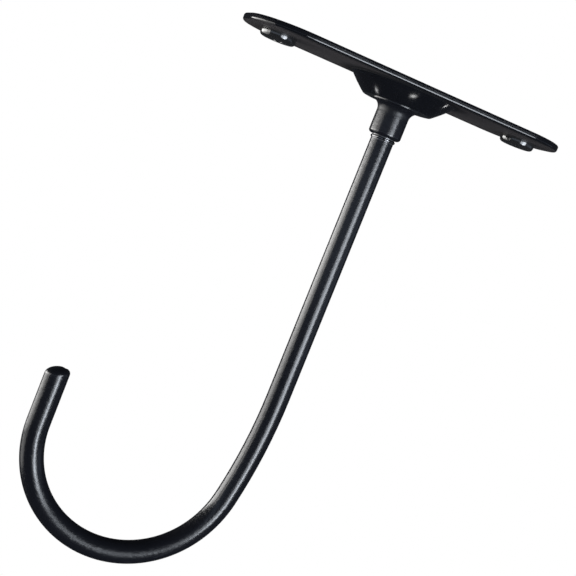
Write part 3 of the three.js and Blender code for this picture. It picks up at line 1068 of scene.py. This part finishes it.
def white_world():
    """White to the camera and to reflections, and a weaker soft sky for diffuse light."""
    world = bpy.data.worlds.new("white_studio")
    world.use_nodes = True
    tree = world.node_tree
    path = add_node(tree, "ShaderNodeLightPath").outputs
    seen = calculated(tree, "MAXIMUM", path["Is Camera Ray"], path["Is Glossy Ray"])
    seen = calculated(tree, "MAXIMUM", seen, path["Is Transmission Ray"])
    strength = mapped(tree, seen, 0.0, 1.0, SKY_STRENGTH, 1.0)
    feed(tree.nodes["Background"], {"Color": (*WHITE, 1), "Strength": strength})
    bpy.context.scene.world = world


def stage_object(name, mesh, material, unseen_by):
    """A thing of the studio, which isn't part of the hook, and which some kinds of ray pass by."""
    mesh.materials.append(material)
    thing = bpy.data.objects.new(name, mesh)
    bpy.context.collection.objects.link(thing)
    for ray in unseen_by:
        setattr(thing, "visible_" + ray, False)


def one_face(name, corners):
    """A mesh of one flat face with these corners."""
    mesh = bpy.data.meshes.new(name)
    mesh.from_pydata(corners, [], [tuple(range(len(corners)))])
    return mesh


def stage_material(name, make_surface):
    """A material whose surface is the shader that make_surface puts in its node tree."""
    material = bpy.data.materials.new(name)
    material.use_nodes = True
    tree = material.node_tree
    feed(tree.nodes["Material Output"], {"Surface": make_surface(tree)})
    return material


def shown_from_front(tree, front):
    """The front shader on the face's front, and clear on its back."""
    back = add_node(tree, "ShaderNodeNewGeometry").outputs["Backfacing"]
    clear = add_node(tree, "ShaderNodeBsdfTransparent").outputs[0]
    return add_node(tree, "ShaderNodeMixShader", {0: back, 1: front, 2: clear}).outputs[0]


def ceiling_surface(tree):
    """Plain white from below, and clear from above."""
    return shown_from_front(tree, add_node(tree, "ShaderNodeEmission").outputs[0])


def floor_surface(tree):
    """A pale matt floor that fades by a smooth step to plain white at its edge, and clear from
    below."""
    place = add_node(tree, "ShaderNodeTexCoord").outputs["Object"]
    fade = add_node(tree, "ShaderNodeMapRange", {
        "Value": distance_off_axis(tree, place), "From Min": FLOOR_FADE_START,
        "From Max": FLOOR_RADIUS}, interpolation_type="SMOOTHSTEP").outputs["Result"]
    matt = add_node(tree, "ShaderNodeBsdfDiffuse", {"Color": (*FLOOR_COLOUR, 1)}).outputs[0]
    white = add_node(tree, "ShaderNodeEmission").outputs[0]
    faded = add_node(tree, "ShaderNodeMixShader", {0: fade, 1: matt, 2: white}).outputs[0]
    return shown_from_front(tree, faded)


def flag_surface(tree):
    """An even dark grey glow."""
    return add_node(tree, "ShaderNodeEmission", {
        "Color": (*FLAG_COLOUR, 1), "Strength": FLAG_RADIANCE}).outputs[0]


def white_ceiling():
    """The ceiling that the plate is screwed to: white from below, clear from above, and seen by the
    camera only, so it neither lights nor shades the hook."""
    side, z = CEILING_SIDE / 2, CEILING_HEIGHT
    corners = [(-side, -side, z), (-side, side, z), (side, side, z), (side, -side, z)]
    material = stage_material("white_ceiling", ceiling_surface)
    stage_object("ceiling", one_face("ceiling", corners), material,
                 unseen_by=("diffuse", "glossy", "transmission", "shadow"))


def pale_floor():
    """A round floor well under the hook, which keeps the hook's shadow."""
    turns = even_turns(FLOOR_SIDES)
    rim = np.stack([FLOOR_RADIUS * np.cos(turns), FLOOR_RADIUS * np.sin(turns),
                    FLOOR_HEIGHT + 0 * turns], 1)
    material = stage_material("pale_floor", floor_surface)
    stage_object("floor", one_face("floor", rim.tolist()), material, unseen_by=("glossy",))


def dark_surround():
    """Dark grey flags all round, as a studio sets round a glossy black object so that its edges
    stay dark. They are met by reflections only, and stand behind the softboxes."""
    ball = bmesh.new()
    bmesh.ops.create_icosphere(ball, subdivisions=SURROUND_CUTS, radius=SURROUND_RADIUS)
    mesh = bpy.data.meshes.new("flags")
    ball.to_mesh(mesh)
    ball.free()
    stage_object("flags", mesh, stage_material("dark_flag", flag_surface),
                 unseen_by=("camera", "diffuse", "transmission", "shadow"))


photograph_camera()
put_piece("mounting_plate", plate_grids(), BLACK_PLATE_COAT, "ceiling_fitting")
put_piece("swivel_collar", collar_grids(), BLACK_COLLAR_COAT, "ceiling_fitting")
put_piece("thrust_washer", washer_grids(), ZINC_PLATE, "ceiling_fitting")
put_piece("mounting_screw_left", screw_grids(-SCREW_PLACE, LEFT_SCREW_TURN), BLACK_SCREW_COAT,
          "ceiling_fitting")
put_piece("mounting_screw_right", screw_grids(SCREW_PLACE, RIGHT_SCREW_TURN), BLACK_SCREW_COAT,
          "ceiling_fitting")
put_piece("hook_rod", rod_grids(), BLACK_ROD_COAT, "hook")

white_world()
white_ceiling()
pale_floor()
dark_surround()
for name, values in LAMPS.items():
    add_lamp(name, *values)
for name, values in GLINTS.items():
    add_glint(name, *values)

scene_settings = bpy.context.scene.view_settings
scene_settings.view_transform = "Standard"
